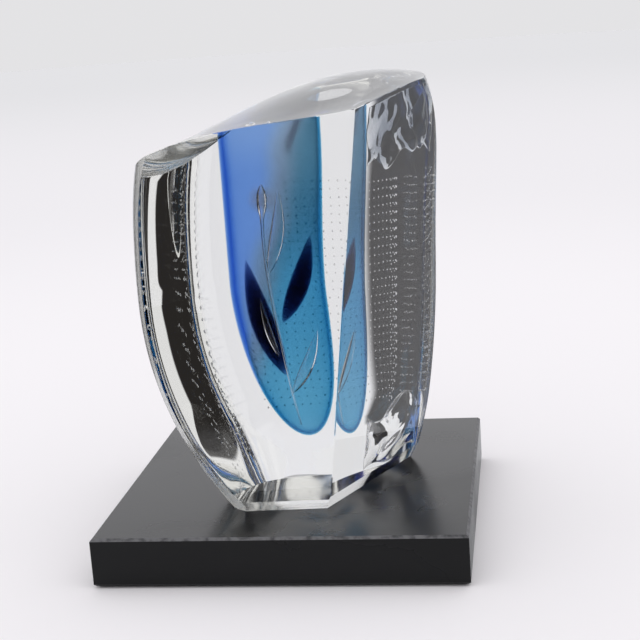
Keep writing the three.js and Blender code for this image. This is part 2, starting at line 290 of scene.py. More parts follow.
def ramp(value, start, end):
    """0 before start, 1 after end and smooth in between."""
    share = np.clip((value - start) / (end - start), 0, 1)
    return share * share * (3 - 2 * share)


def rounded_end(shape, left):
    """Half width and half depth of a column at a share of its rounded lower end, 0 at its top."""
    full = 1 - left ** END_POWER
    return shape["half_width"] * np.sqrt(full), shape["half_depth"] * full ** 0.25


def near_tip(left):
    """The share of its depth that the core keeps near its lowest tip."""
    return np.minimum(1.0, 0.35 + 3.0 * np.sqrt(1 - left))


def column_grid(shape, sides=112, levels=72):
    """Rings of an upright oval column with a rounded lower end, up to just under the top cut."""
    angles = np.linspace(0, 2 * math.pi, sides, endpoint=False)
    end, bottom = shape["end_length"], shape["bottom"]
    heights = [bottom + end * (1 - math.cos(a)) for a in np.linspace(0.03, math.pi / 2, levels // 2)]
    stations = [(h, 0.0) for h in heights]
    stations += [(bottom + end, rise) for rise in np.linspace(0, 1, levels // 2)[1:]]
    rings = []
    for h, rise in stations:
        left = max(0.0, 1 - (h - bottom) / end)
        width, depth = rounded_end(shape, left)
        flare = shape["flare"] * float(ramp(h + 100.0 * rise, 125.0, 200.0))
        x = shape["x"] + shape["end_shift"] * left ** SHIFT_POWER + width * np.cos(angles)
        x += flare * np.maximum(0.0, np.cos(angles))
        y = shape["y"] + depth * near_tip(left) * np.sin(angles)
        z = h + rise * (top_height(x, y) - TOP_GAP - h)
        rings.append(np.stack([x, y, z], axis=-1))
    return np.stack(rings)


def grid_normals(grid):
    """Outward directions at the points of a column grid."""
    round_about = np.roll(grid, -1, axis=1) - np.roll(grid, 1, axis=1)
    upward = np.gradient(grid, axis=0)
    upward[-1] = upward[-2]
    normal = np.cross(round_about, upward)
    return normal / np.linalg.norm(normal, axis=-1, keepdims=True)


def inset_grid(grid, depth):
    """A column grid drawn in by a depth that may vary from point to point."""
    drawn = grid - grid_normals(grid) * np.asarray(depth)[..., None]
    drawn[-1, :, 2] = top_height(drawn[-1, :, 0], drawn[-1, :, 1]) - TOP_GAP
    return drawn


def capped(grid, start=0, flipped=False):
    """Faces of a column grid with its lower end closed by a fan, as (points, faces)."""
    levels, sides = grid.shape[:2]
    points = grid.reshape(-1, 3).tolist() + [grid[0].mean(axis=0).tolist()]
    faces = []
    for k in range(levels - 1):
        for j in range(sides):
            n = (j + 1) % sides
            faces.append([k * sides + j, k * sides + n, (k + 1) * sides + n, (k + 1) * sides + j])
    for j in range(sides):
        faces.append([levels * sides, (j + 1) % sides, j])
    return points, [[i + start for i in (reversed(f) if flipped else f)] for f in faces]


def shell_mesh(outer, inner):
    """A closed skin between two column grids of one size, with a flat ring on top."""
    points, faces = capped(outer)
    more, back = capped(inner, start=len(points), flipped=True)
    levels, sides = outer.shape[:2]
    top = (levels - 1) * sides
    smooth = [True] * (len(faces) + len(back)) + [False] * sides
    ring = [[top + j, top + (j + 1) % sides, len(points) + top + (j + 1) % sides, len(points) + top + j]
            for j in range(sides)]
    return points + more, faces + back + ring, smooth


def column_mesh(grid):
    """A closed column with a lid that follows the top cut."""
    points, faces = capped(grid)
    smooth = [True] * len(faces)
    previous = list(range((grid.shape[0] - 1) * grid.shape[1], grid.shape[0] * grid.shape[1]))
    rim = grid[-1, :, :2]
    middle = rim.mean(axis=0)
    for share in (0.75, 0.5, 0.25):
        ring = []
        for q in rim:
            x, y = middle + (q - middle) * share
            points.append([x, y, float(top_height(x, y)) - TOP_GAP])
            ring.append(len(points) - 1)
        for n in range(len(ring)):
            m = (n + 1) % len(ring)
            faces.append([previous[n], previous[m], ring[m], ring[n]])
            smooth.append(False)
        previous = ring
    points.append([*middle, float(top_height(*middle)) - TOP_GAP])
    for n in range(len(previous)):
        faces.append([previous[n], previous[(n + 1) % len(previous)], len(points) - 1])
        smooth.append(False)
    return points, faces, smooth


# Fingermarks: how small the patches are, where they begin and where they are full, and how
# dull they leave the glass
FINGERMARKS, DULLED = (38.0, 0.6, 0.78), 0.012


def soiling(start, scale, least, most):
    """Soft patches between 0 and 1, where hands and dust have dulled a surface."""
    place = start.node("ShaderNodeTexCoord", output="Object")
    cloud = {"Vector": place, "Scale": scale, "Detail": 5.0, "Distortion": 0.6}
    return start.node("ShaderNodeTexNoise", {}, cloud).rises(least, most)


def clear_glass(name, ior, dulled=DULLED):
    """Polished clear glass. ior is the step of refraction at the piece's own surface."""
    material, start = new_tree(name)
    surface = start.node("ShaderNodeBsdfPrincipled", {}, {
        "Base Color": colour(1.0, 1.0, 1.0),
        "Roughness": soiling(start, *FINGERMARKS) * dulled,
        "IOR": ior,
        "Transmission Weight": 1.0,
    })
    return material, start, surface


def coloured_glass(name, ior, absorbed):
    """Clear polished glass that takes up this share of red, green and blue light per millimetre."""
    material, start, surface = clear_glass(name, ior)
    strongest = max(absorbed)
    volume = start.node("ShaderNodeVolumeAbsorption", {}, {
        "Color": colour(*(1 - a / strongest for a in absorbed)),
        "Density": strongest / MM,
    })
    finished(start, surface, volume)
    return material


core_grid = column_grid(CORE)
core_x, core_z = core_grid[..., 0], core_grid[..., 2]
turns_at = -21.5 + 0.235 * (core_z - 76.0)    # where cobalt gives way to teal
turns_at += 1.6 * np.sin(core_z / 11.0) + 0.8 * np.sin(core_z / 4.7 + 1.0)
teal_share = ramp(core_x, turns_at - 13, turns_at + 13)
fullness = OVERLAY * (1 - 0.38 * 4 * teal_share * (1 - teal_share))
to_left = -np.cos(np.linspace(0, 2 * math.pi, core_grid.shape[1], endpoint=False))
cobalt_depth = fullness * (1 - teal_share) * (1 - 0.2 * ramp(core_z, 175, 205))
cobalt_depth = np.maximum(cobalt_depth * (1 + 0.35 * ramp(to_left, 0.75, 0.98)), THINNEST)
teal_depth = fullness * teal_share * (0.8 + 0.2 * ramp(core_z, 45, 105))
teal_depth = np.maximum(teal_depth * (1 - 0.36 * ramp(core_z, 140, 200)), THINNEST)
smoke_depth = 1.35 * swell(core_x, turns_at + 1, 8.0) * ramp(core_z, 45, 90)
smoke_depth *= 1 - 0.3 * ramp(core_z, 170, 205)
smoke_depth += 1.1 * ramp(core_x, turns_at, turns_at + 14) * ramp(core_z, 110, 165)
smoke_depth += 1.5 * swell(core_x, turns_at + 4, 2.2) * ramp(core_z, 186, 196)
smoke_depth = np.maximum(smoke_depth, THINNEST)

cobalt_glass = coloured_glass("cobalt_glass", 1.006, (0.41, 0.25, 0.06))
teal_glass = coloured_glass("teal_glass", 1.002, (0.62, 0.26, 0.135))
smoke_glass = coloured_glass("smoke_glass", 1.002, (0.2, 0.26, 0.25))
heart_glass, start, surface = clear_glass("heart_glass", 1.002)
finished(start, surface)

cobalt = piece_of("cobalt_skin", *shell_mesh(core_grid, inset_grid(core_grid, cobalt_depth)))
cobalt.data.materials.append(cobalt_glass)
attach(cobalt, "glass")
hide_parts("cobalt_overlay")

layer = cobalt_depth + SKIN_GAP
teal_outer, teal_inner = inset_grid(core_grid, layer), inset_grid(core_grid, layer + teal_depth)
teal = piece_of("teal_skin", *shell_mesh(teal_outer, teal_inner))
teal.data.materials.append(teal_glass)
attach(teal, "glass")
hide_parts("teal_overlay")

layer = layer + teal_depth + SKIN_GAP
smoke_outer, smoke_inner = inset_grid(core_grid, layer), inset_grid(core_grid, layer + smoke_depth)
smoke = piece_of("smoke_wisp", *shell_mesh(smoke_outer, smoke_inner))
smoke.data.materials.append(smoke_glass)
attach(smoke, "glass")

layer = layer + smoke_depth + SKIN_GAP
heart = piece_of("heart_column", *column_mesh(inset_grid(core_grid, layer)))
heart.data.materials.append(heart_glass)
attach(heart, "glass")
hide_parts("core_heart")

# Leaves
# A sprig laid on the front of the core under the clear glass: two leaves of near black navy
# glass, and between them a stem that ends in a drop, two clear leaves and a spindle, which
# are hollows full of air.


def core_front(x, z):
    """The core's front surface in the block's frame."""
    left = np.clip(1 - (z - CORE["bottom"]) / CORE["end_length"], 0, 0.999)
    width, depth = rounded_end(CORE, left)
    off = (x - CORE["x"] - CORE["end_shift"] * left ** SHIFT_POWER) / width
    return CORE["y"] - depth * near_tip(left) * np.sqrt(np.clip(1 - off ** 2, 0.02, 1))


def closed_pair(near, far):
    """A closed mesh between two grids of points, one behind the other, as (points, faces)."""
    rows, columns = near.shape[:2]
    count = rows * columns
    faces = []
    for k in range(rows - 1):
        for j in range(columns - 1):
            a = k * columns + j
            faces.append([a, a + 1, a + columns + 1, a + columns])
            faces.append([count + i for i in (a, a + columns, a + columns + 1, a + 1)])
    edge = list(range(columns))
    edge += [k * columns + columns - 1 for k in range(1, rows)]
    edge += [(rows - 1) * columns + j for j in range(columns - 2, -1, -1)]
    edge += [k * columns for k in range(rows - 2, 0, -1)]
    for n, a in enumerate(edge):
        b = edge[(n + 1) % len(edge)]
        faces.append([b, a, count + a, count + b])
    return near.reshape(-1, 3).tolist() + far.reshape(-1, 3).tolist(), faces


def leaf_mesh(foot, tip, half_width, half_thick, bend, lift=0.0, along_steps=34, across_steps=14):
    """A pointed, softly swollen leaf on the core's front; foot and tip are (x, z)."""
    foot, tip = np.array(foot, float), np.array(tip, float)
    run = tip - foot
    side = np.array([run[1], -run[0]]) / np.hypot(*run)
    share = (1 - np.cos(np.linspace(0.06, math.pi - 0.06, along_steps))) / 2
    spread = np.linspace(-1, 1, across_steps)
    swollen = np.sin(math.pi * share ** 0.82) ** 0.85
    spine = foot + run * share[:, None] + side * (bend * np.sin(math.pi * share))[:, None]
    flat = spine[:, None] + side * (half_width * swollen[:, None] * spread)[..., None]
    x, z = flat[..., 0], flat[..., 1]
    thick = half_thick * swollen[:, None] * np.sqrt(np.clip(1 - spread ** 2, 0.004, 1))
    y = core_front(x, z) - lift
    return closed_pair(np.stack([x, y - thick, z], axis=-1), np.stack([x, y + thick, z], axis=-1))


def thread_mesh(stations, lift=1.6, sides=12, per_span=9):
    """A round thread of air through (x, z, radius) stations, just in front of the core."""
    stations = np.array(stations, float)
    places = np.linspace(0, len(stations) - 1, (len(stations) - 1) * per_span + 1)
    softening = np.hanning(11)[1:-1] / np.hanning(11).sum()
    smooth = []
    for i in range(3):
        straight = np.interp(places, range(len(stations)), stations[:, i])
        smooth.append(np.convolve(np.pad(straight, 4, "edge"), softening, "valid"))
    points, faces = [], []
    for n, (x, z, radius) in enumerate(np.array(smooth).T):
        for angle in np.linspace(0, 2 * math.pi, sides, endpoint=False):
            y = core_front(x, z) - lift
            points.append([x + radius * math.cos(angle), y + radius * math.sin(angle), z])
        if n:
            for j in range(sides):
                m, low = (j + 1) % sides, (n - 1) * sides
                faces.append([low + j, low + m, low + sides + m, low + sides + j])
    faces += [list(range(sides))[::-1], [len(points) - sides + j for j in range(sides)]]
    return points, faces


dark_glass = coloured_glass("dark_glass", 1.03, (5.4, 4.9, 3.2))
dark_leaves = {
    "dark_leaf_long": leaf_mesh((-2.5, 67.0), (-20.4, 133.7), 7.0, 0.62, -2.6, lift=-0.5),
    "dark_leaf_short": leaf_mesh((-2.2, 97.0), (16.0, 145.6), 5.6, 0.62, 2.4, lift=-0.5),
}
for name, shape in dark_leaves.items():
    leaf = piece_of(name + "_glass", *shape)
    leaf.data.materials.append(dark_glass)
    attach(leaf, "glass")
    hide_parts(name)

air, start, surface = clear_glass("air", 1 / 1.5, dulled=0.0)
finished(start, surface)
hollows = {
    "air_stem": thread_mesh([(4.1, 36.3, 0.25), (0.1, 58.6, 0.62), (-3.3, 81.7, 0.72), (-6.6, 104.6, 0.75),
                             (-8.8, 127.1, 0.8), (-9.6, 145.0, 0.85), (-9.2, 156.0, 1.1), (-8.8, 162.5, 3.0),
                             (-8.6, 169.5, 2.8), (-8.5, 174.5, 0.4)]),
    "air_leaf_upper": leaf_mesh((-8.0, 125.0), (0.5, 171.0), 3.8, 1.5, 2.2, lift=1.8),
    "air_leaf_lower": leaf_mesh((0.6, 57.0), (16.5, 92.0), 3.4, 1.4, 2.0, lift=1.8),
    "air_spindle": leaf_mesh((-5.5, 78.0), (-13.8, 112.0), 2.0, 1.0, -1.2, lift=1.6),
}
for name, shape in hollows.items():
    hollow = piece_of(name, *shape)
    hollow.data.materials.append(air)
    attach(hollow, "glass")

# a pale breath of fine air round the drop
HALO_X, HALO_Z, HALO_LIFT = -8.6, 166.0, 0.9
halo_middle = placed([HALO_X, core_front(HALO_X, HALO_Z) - HALO_LIFT, HALO_Z])
breath, start = new_tree("breath_of_air")
place = start.node("ShaderNodeTexCoord", output="Object")
ends = {0: place, 1: tuple(halo_middle)}
away = start.node("ShaderNodeVectorMath", {"operation": "DISTANCE"}, ends, "Value")
clear = start.node("ShaderNodeBsdfTransparent")
pale = start.node("ShaderNodeBsdfDiffuse", {}, {"Color": colour(0.85, 0.88, 0.92)})
thickness = away.rises(0.0095, 0.002) * 0.3
finished(start, start.node("ShaderNodeMixShader", {}, {0: thickness, 1: clear, 2: pale}))
halo_shape = leaf_mesh((HALO_X, HALO_Z - 12.0), (HALO_X, HALO_Z + 12.0), 9.0, 0.25, 0.0, lift=HALO_LIFT)
halo = piece_of("pale_halo", *halo_shape)
halo.data.materials.append(breath)
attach(halo, "glass")

# Air bubbles
# Rows of pinpricked air bubbles on the back of the inner gather, from its middle round to
# its right side, caught there by the casing. Each is a small empty drop in the glass, so
# light bends the other way in it.
GATHER = dict(x=5.0, y=5.0, half_width=45.0, half_depth=25.0, bottom=18.0, end_length=60.0, end_shift=4.0)
HIGHEST_ROW, LOWEST_ROW, ROW_STEP = 171.0, 39.0, 4.75
BUBBLE_STEP, BUBBLE_RADIUS = 5.0, 0.46
ROW_START, ROW_START_LOW, ROW_END = 94, 128, -16     # degrees round the gather from its right


def round_ball(subdivisions):
    """Points and faces of a ball of radius 1."""
    ball = bmesh.new()
    bmesh.ops.create_icosphere(ball, subdivisions=subdivisions, radius=1.0)
    points = np.array([v.co[:] for v in ball.verts])
    faces = [[v.index for v in f.verts] for f in ball.faces]
    ball.free()
    return points, faces


seed = np.random.default_rng(7)
drop_points, drop_faces = round_ball(2)
drop_points *= np.array([1, 1, 1.2])
bubble_points, bubble_faces = [], []


def prick(middle, size):
    """Adds one upright air bubble."""
    base = len(bubble_points)
    bubble_points.extend((np.asarray(middle) + drop_points * size).tolist())
    bubble_faces.extend([i + base for i in f] for f in drop_faces)


for height in np.arange(HIGHEST_ROW, LOWEST_ROW, -ROW_STEP):
    left = max(0.0, 1 - (height - GATHER["bottom"]) / GATHER["end_length"])
    width, depth = rounded_end(GATHER, left)
    first = ROW_START + (ROW_START_LOW - ROW_START) * float(ramp(height, 118, 92))
    turns = np.linspace(math.radians(first), math.radians(ROW_END), 400)
    line = np.stack([GATHER["x"] + GATHER["end_shift"] * left ** SHIFT_POWER + width * np.cos(turns),
                     GATHER["y"] + depth * np.sin(turns)], axis=-1)
    walked = np.concatenate([[0], np.cumsum(np.linalg.norm(np.diff(line, axis=0), axis=1))])
    for reach in np.arange(0, walked[-1], BUBBLE_STEP):
        x, y = (np.interp(reach, walked, line[:, i]) for i in (0, 1))
        prick(np.array([x, y, height]) + seed.normal(0, 0.12, 3), BUBBLE_RADIUS * seed.uniform(0.8, 1.15))

# two shorter sets at the back right, where the pricked gather was folded over
for height in np.arange(HIGHEST_ROW - 1.5, LOWEST_ROW + 1.0, -ROW_STEP):
    for share in np.arange(0.0, 1.0, 0.13):
        if seed.uniform() < 0.2:
            continue
        drawn_in = 0.13 * max(0.0, 110.0 - height)
        middle = np.array([37.5 + 15.0 * share, 49.0 - drawn_in - 1.5 * share, height - 2.0 * share])
        prick(middle + seed.normal(0, 0.25, 3), BUBBLE_RADIUS * seed.uniform(0.6, 0.95))
    for share in np.arange(0.0, 1.0, 0.13):
        if seed.uniform() < 0.25 + 0.35 * (height < 130):
            continue
        middle = np.array([60.0 + 11.0 * share, 46.0 - 5.0 * share, height - 3.0 + 6.0 * share ** 2])
        prick(middle + seed.normal(0, 0.2, 3), BUBBLE_RADIUS * seed.uniform(0.6, 0.95))
bubbles = piece_of("air_bubbles", bubble_points, bubble_faces)
bubbles.data.materials.append(air)
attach(bubbles, "glass")

# Folds
# Where the last gather was cut off and folded over, its skin lies in wrinkles in the clear
# glass: a large smoky fold behind the top of the right facet, a flat bubble of air near it,
# and a small clear curl behind the facet's foot. The casing shuts them in.

# The right facet turns back from the front one, at a crease that leans to the right.
FRONT_Y = -63.0
CREASE_X, CREASE_LEAN = 19.8, math.tan(math.radians(7.0))
RIGHT_TURN = math.radians(61.5)
right_along = np.array([math.cos(RIGHT_TURN), math.sin(RIGHT_TURN), 0.0])
crease_along = np.array([CREASE_LEAN, 0.0, 1.0])
right_normal = np.cross(right_along, crease_along)
right_normal /= np.linalg.norm(right_normal)
right_outward = np.array([right_normal[0], right_normal[1]]) / np.hypot(right_normal[0], right_normal[1])


def behind_right(u, depth, z):
    """A place behind the right facet: u along it from the crease, depth inward from it."""
    base = np.stack([CREASE_X + CREASE_LEAN * z, np.full_like(z, FRONT_Y)], axis=-1)
    flat = base + right_along[:2] * u[..., None] - right_outward * depth[..., None]
    return np.stack([flat[..., 0], flat[..., 1], z], axis=-1)


def fold_mesh(across, low, high, middle, half, across_steps=110, up_steps=80):
    """A closed, wrinkled lens of glass behind the right facet."""
    share, rise = np.meshgrid(np.linspace(0, 1, across_steps), np.linspace(0, 1, up_steps))
    u = across[0] + (across[1] - across[0]) * share
    z = low(u) + (high(u) - low(u)) * rise
    # it thins out to its two sides and to its lower edge
    full = np.sqrt(np.clip(np.minimum(share, 1 - share) * 9, 0.003, 1) * np.clip(rise * 5, 0.003, 1))
    near = behind_right(u, middle(u, z) - half(u, z) * full, z)
    far = behind_right(u, middle(u, z) + half(u, z) * full, z)
    return closed_pair(near, far)


def fold_low(u):
    return 184.5 + 2.6 * np.sin(u / 4.1) + 2.2 * np.sin(u / 9.5 + 0.6) - 3.0 * np.exp(-((u - 50) / 8) ** 2)


def fold_high(u):
    place = behind_right(u, np.full_like(u, 11.0), np.full_like(u, 214.0))
    return top_height(place[..., 0], place[..., 1]) - 3.5


def fold_middle(u, z):
    swirl = np.sin(u / 6.4 + 1.5 * np.sin(z / 7.0 + 0.4)) + 0.6 * np.sin(z / 3.9 + 1.7 * np.sin(u / 8.0))
    return 10.5 + 1.5 * swirl + 0.3 * np.sin(u / 2.0 + 2.0 * np.sin(z / 5.0))


def fold_half(u, z):
    swirl = np.sin(u / 4.9 - 1.2 * np.sin(z / 5.5 + 2.0)) + 0.7 * np.sin(u / 3.1 + z / 6.0)
    return 3.8 + (0.5 + 1.0 * ramp(u, 38, 62)) * swirl + 0.35 * np.sin(z / 2.4 + 1.6 * np.sin(u / 4.0))


def curl_low(u):
    return 9.0 + 2.0 * np.sin(u / 6.0)


def curl_high(u):
    return 40.0 + 7.0 * np.sin(u / 9.0 - 1.0) - 0.12 * (u - 60)


def curl_middle(u, z):
    swirl = np.sin(np.hypot(u - 72.0, 1.2 * (z - 32.0)) / 2.8)
    return np.interp(u, (40, 100), (9.0, 4.5)) + 1.1 * swirl


def curl_half(u, z):
    swirl = np.sin(u / 5.2 + 1.3 * np.sin(z / 5.0))
    return np.interp(u, (40, 100), (3.4, 1.7)) * (1 + 0.5 * swirl)


fold_glass, start, surface = clear_glass("fold_glass", 1.2)
smoke = start.node("ShaderNodeVolumeAbsorption", {}, {"Color": colour(0.0, 0.08, 0.2), "Density": 130.0})
finished(start, surface, smoke)
fold = piece_of("folded_gather", *fold_mesh((22.0, 93.0), fold_low, fold_high, fold_middle, fold_half))
fold.data.materials.append(fold_glass)
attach(fold, "glass")

VOID_MIDDLE = np.array([65.5, 25.0, 199.0])
VOID_HALF = np.array([8.5, 0.85, 14.5])
VOID_TURN = math.radians(-20.4)
void_points, void_faces = round_ball(4)
void_points = turned(void_points * VOID_HALF, VOID_TURN) + VOID_MIDDLE
void = piece_of("flat_bubble", void_points, void_faces)
void.data.materials.append(air)
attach(void, "glass")

curl = piece_of("foot_curl", *fold_mesh((40.0, 96.0), curl_low, curl_high, curl_middle, curl_half))
curl_glass, start, surface = clear_glass("curl_glass", 1.3)
finished(start, surface)
curl.data.materials.append(curl_glass)
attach(curl, "glass")

# Crystal block
# The clear casing, gathered hot over all the rest and fused with the gather inside it. It was
# cut and polished flat at the front and at the right and cut in a low dome on top, and its
# sharp arrises were taken off by a fine chamfer.
BELLY = dict(height=122.0, half_width=76.6, half_depth=67.8, x=3.2, y=-12.5)
FOOT = dict(half_width=51.0, half_depth=52.0, shift_x=14.0, shift_y=-1.6)
SHOULDER = dict(inset=7.0, shift_x=7.4, shift_y=1.9, power=5.0)
SQUARENESS, SECTION_SKEW, TAPER_POWER = 0.0466, 0.277, 2.27
TOP_MIDDLE = np.array([8.0, -8.0])
TALLEST, LEVEL_STEP = 252.0, 1.5
BEVEL_HEIGHT, BEVEL_INSET = 6.0, 3.0
HEEL = dict(slope=0.4, height=12.0, ease=34.0)
CHEEK = dict(swell=1.3, level=0.45, from_arris=60.0, length=40.0, fades=(48.0, 128.0))
CHAMFER = 0.35
FINE_STEPS, SETTLING_ROUNDS = 1441, 30        # how finely places along a curve are searched
SOLE_HOLLOW = 0.04

# Haze left by the wheel: the place where it is full, the place where it ends, and how strong
ARRIS_HAZE = (0.0, 36.0, 0.32)                # along the hot wall, from the left arris
RUN_OUT_HAZE = (8.0, 16.0, 0.9)               # the same, where the wheel ran out
HEEL_HAZE = (10.0, 18.0, 0.2)                 # up from the sole
TOP_HAZE = (-40.0, -26.0, 0.8)                # across the top

right_lean = -right_normal[2] / np.hypot(right_normal[0], right_normal[1])
crease_foot = BEVEL_INSET / (BEVEL_INSET / BEVEL_HEIGHT - right_lean)    # where the two bevels meet


def heel_inset(height):
    """How far the middle of the back is drawn in over the foot."""
    share = min(1.0, max(0.0, (height - HEEL["height"]) / HEEL["ease"]))
    eased = 0.5 - share + share ** 3 - share ** 4 / 2
    return HEEL["slope"] * (max(0.0, HEEL["height"] - height) + HEEL["ease"] * eased)


def section(height):
    """Half width, half depth and middle of the hot block's section at a height."""
    below = max(0.0, (BELLY["height"] - height) / BELLY["height"])
    above = max(0.0, (height - BELLY["height"]) / (TOP["height"] - BELLY["height"]))
    inset = SHOULDER["inset"] * above ** SHOULDER["power"]
    taper = below ** TAPER_POWER
    half_width = BELLY["half_width"] + (FOOT["half_width"] - BELLY["half_width"]) * taper - inset
    half_depth = BELLY["half_depth"] + (FOOT["half_depth"] - BELLY["half_depth"]) * taper - inset
    middle_x = BELLY["x"] + FOOT["shift_x"] * below ** 2 + SHOULDER["shift_x"] * above ** 2
    middle_y = BELLY["y"] + FOOT["shift_y"] * below ** 2 + SHOULDER["shift_y"] * above ** 2
    return half_width, half_depth, middle_x, middle_y


def front_limit(height):
    return max(FRONT_Y + CHAMFER, FRONT_Y + BEVEL_INSET * (1 - height / BEVEL_HEIGHT))


def right_limit(height):
    slant = BEVEL_INSET / BEVEL_HEIGHT
    return min(right_lean * height - CHAMFER, slant * height - BEVEL_INSET)


def section_line(height, angles):
    half_width, half_depth, middle_x, middle_y = section(height)
    side = half_width * ((1 + SQUARENESS) * np.cos(angles) - SQUARENESS * np.cos(3 * angles))
    depth = half_depth * ((1 + SQUARENESS) * np.sin(angles) + SQUARENESS * np.sin(3 * angles))
    depth -= heel_inset(height) * np.maximum(0.0, np.sin(angles)) ** 1.5
    return np.stack([middle_x + side + SECTION_SKEW * depth, middle_y + depth], axis=-1)


def hot_line(height, count):
    """The hot-shaped wall at one height, from the right arris round the back to the left one."""
    search = np.linspace(math.pi / 2, 1.5 * math.pi, FINE_STEPS)
    before = section_line(height, search)[:, 1] - front_limit(height)
    meets = before.min() < 0
    last = np.interp(0, -before, search) if meets else search[-1]
    search = np.linspace(-math.pi / 2, math.pi / 2, FINE_STEPS)
    across = (section_line(height, search) - np.array([CREASE_X, FRONT_Y])) @ right_outward
    outside = np.nonzero(across > right_limit(height))[0]
    first = search[outside[-1]] if len(outside) else 0.0
    if len(outside) and outside[-1] + 1 < len(search):
        a, b = outside[-1], outside[-1] + 1
        level = right_limit(height)
        first = search[a] + (search[b] - search[a]) * (across[a] - level) / (across[a] - across[b])
    fine = section_line(height, np.linspace(first, last, 1600))
    walked = np.concatenate([[0], np.cumsum(np.linalg.norm(np.diff(fine, axis=0), axis=1))])
    even = np.linspace(0, walked[-1], count)
    line = np.stack([np.interp(even, walked, fine[:, i]) for i in (0, 1)], axis=-1)
    line[-1, 1] = front_limit(height) if meets else line[-1, 1]
    return line


def fading(value, full, gone):
    """1 up to full and 0 from gone on, in a straight line between them."""
    return np.clip((gone - value) / (gone - full), 0, 1)


def hazed(value, full, gone, strength):
    """One of the hazes, where value is the place along it."""
    return strength * fading(value, full, gone)


def hot_wall(columns, rows):
    """The hot-shaped wall up to the top cut, as a grid of points, and how dull each point is."""
    levels = np.arange(0.0, TALLEST, LEVEL_STEP)
    wall = np.stack([hot_line(h, columns + 1) for h in levels])
    lid = top_height(wall[..., 0], wall[..., 1]) - CHAMFER - levels[:, None]
    rim = np.zeros(columns + 1)
    for j in range(columns + 1):
        k = np.nonzero(lid[:, j] > 0)[0][-1]
        rim[j] = levels[k] + LEVEL_STEP * lid[k, j] / (lid[k, j] - lid[k + 1, j])
    heights = [np.full(columns + 1, z) for z in (SOLE_HOLLOW, 2.0, 4.0, BEVEL_HEIGHT, crease_foot)]
    heights += [crease_foot + (rim - crease_foot) * share for share in np.arange(1, rows + 1) / rows]
    body = np.zeros((len(heights), columns + 1, 3))
    for k, z in enumerate(heights):
        for j in range(columns + 1):
            body[k, j, 0] = np.interp(z[j], levels, wall[:, j, 0])
            body[k, j, 1] = np.interp(z[j], levels, wall[:, j, 1])
        body[k, :, 2] = z
    body[:, -1, 1] = [front_limit(z) for z in body[:, -1, 2]]
    # a slight swelling behind the left arris, where the hot glass was pressed last
    along_wall = np.roll(body, -1, axis=1) - np.roll(body, 1, axis=1)
    along_wall[:, 0], along_wall[:, -1] = along_wall[:, 1], along_wall[:, -2]
    outward = np.stack([along_wall[..., 1], -along_wall[..., 0]], axis=-1)
    outward /= np.linalg.norm(outward, axis=-1, keepdims=True)
    step = np.linalg.norm(np.diff(body[..., :2], axis=1), axis=-1)
    walked = np.concatenate([np.zeros((body.shape[0], 1)), np.cumsum(step, axis=1)], axis=1)
    from_left = walked[:, -1:] - walked
    cheek = np.exp(-((from_left - CHEEK["from_arris"]) / CHEEK["length"]) ** 2) - CHEEK["level"]
    cheek *= CHEEK["swell"] * fading(from_left, *CHEEK["fades"])
    body[..., :2] += outward * cheek[..., None]
    haze = hazed(from_left, *ARRIS_HAZE) + hazed(from_left, *RUN_OUT_HAZE)
    haze = np.maximum(haze, hazed(body[..., 2], *HEEL_HAZE))
    body[-1, :, 2] = top_height(body[-1, :, 0], body[-1, :, 1]) - CHAMFER
    body[:, -1, 1] = [front_limit(z) for z in body[:, -1, 2]]
    return body, haze


